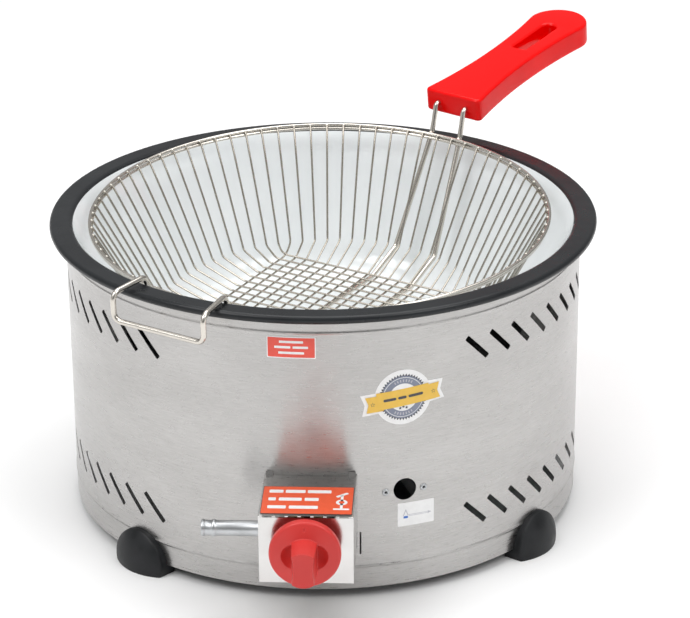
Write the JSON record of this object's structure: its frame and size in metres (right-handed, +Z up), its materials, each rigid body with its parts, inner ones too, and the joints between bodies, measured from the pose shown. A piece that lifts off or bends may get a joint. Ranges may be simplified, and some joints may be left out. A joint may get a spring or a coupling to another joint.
{
  "type": "deep fryer",
  "caption": "Round countertop gas deep fryer: steel casing on rubber feet, enamelled pan, lift-out wire basket with a long handle and a drain hook, and a gas tap knob.",
  "frame": {"origin": "on the standing plane under the feet, at the axis of the round casing", "axes": "+Z up along the casing axis, -Y towards the tap and knob, +X to the right when facing the knob"},
  "size_m": [0.402, 0.5839, 0.2862],
  "materials": {
    "casing_steel": "brushed round the casing",
    "cover_steel": "bright rolled sheet",
    "foot_rubber": "moulded, slightly shiny",
    "label_orange": "printed film",
    "label_red": "printed film",
    "label_blue_grey": "printed film",
    "label_white": "printed film",
    "tap_brass": "turned",
    "zinc_steel": "zinc plated",
    "burner_iron": "sand cast",
    "knob_plastic": "satin",
    "pan_enamel": "glossy enamel, dark on the rim",
    "basket_wire": "nickel plated, warm grey",
    "grip_plastic": "glossy"
  },
  "bodies": {
    "fryer": {"casing_shell": "casing_steel", "foot_front_left": "foot_rubber", "foot_front_right": "foot_rubber", "foot_rear_right": "foot_rubber", "foot_rear_left": "foot_rubber", "valve_cover": "cover_steel", "cover_label": "label_orange", "caution_label": "label_red", "quality_seal": "label_blue_grey", "match_label": "label_white", "valve_body": "tap_brass", "valve_bonnet": "tap_brass", "bonnet_screws": "zinc_steel", "gas_inlet_nipple": "zinc_steel", "injector": "tap_brass", "burner_casting": "burner_iron", "burner_cap": "burner_iron", "burner_bracket": "zinc_steel", "bracket_rivets": "zinc_steel", "burner_bolt": "zinc_steel", "burner_nut": "zinc_steel"},
    "tap": {"knob": "knob_plastic", "valve_plug": "tap_brass", "valve_spring": "zinc_steel"},
    "pan": {"pan": "pan_enamel"},
    "basket": {"basket_top_ring": "basket_wire", "basket_lower_ring": "basket_wire", "basket_wires_long": "basket_wire", "basket_wires_cross": "basket_wire", "basket_handle_wire": "basket_wire", "basket_rest_hook": "basket_wire", "basket_handle_grip": "grip_plastic"}
  },
  "joints": [
    {"name": "knob_turn", "type": "hinge", "parent": "fryer", "child": "tap", "pos_m": [0, -0.257, 0.075], "axis": [0, -1, 0], "range_deg": [0, 180]},
    {"name": "pan_lift", "type": "slide", "parent": "fryer", "child": "pan", "axis": [0, 0, 1], "range_m": [0, 0.16]},
    {"name": "basket_lift", "type": "slide", "parent": "pan", "child": "basket", "axis": [0, 0, 1], "range_m": [0, 0.2]}
  ]
}
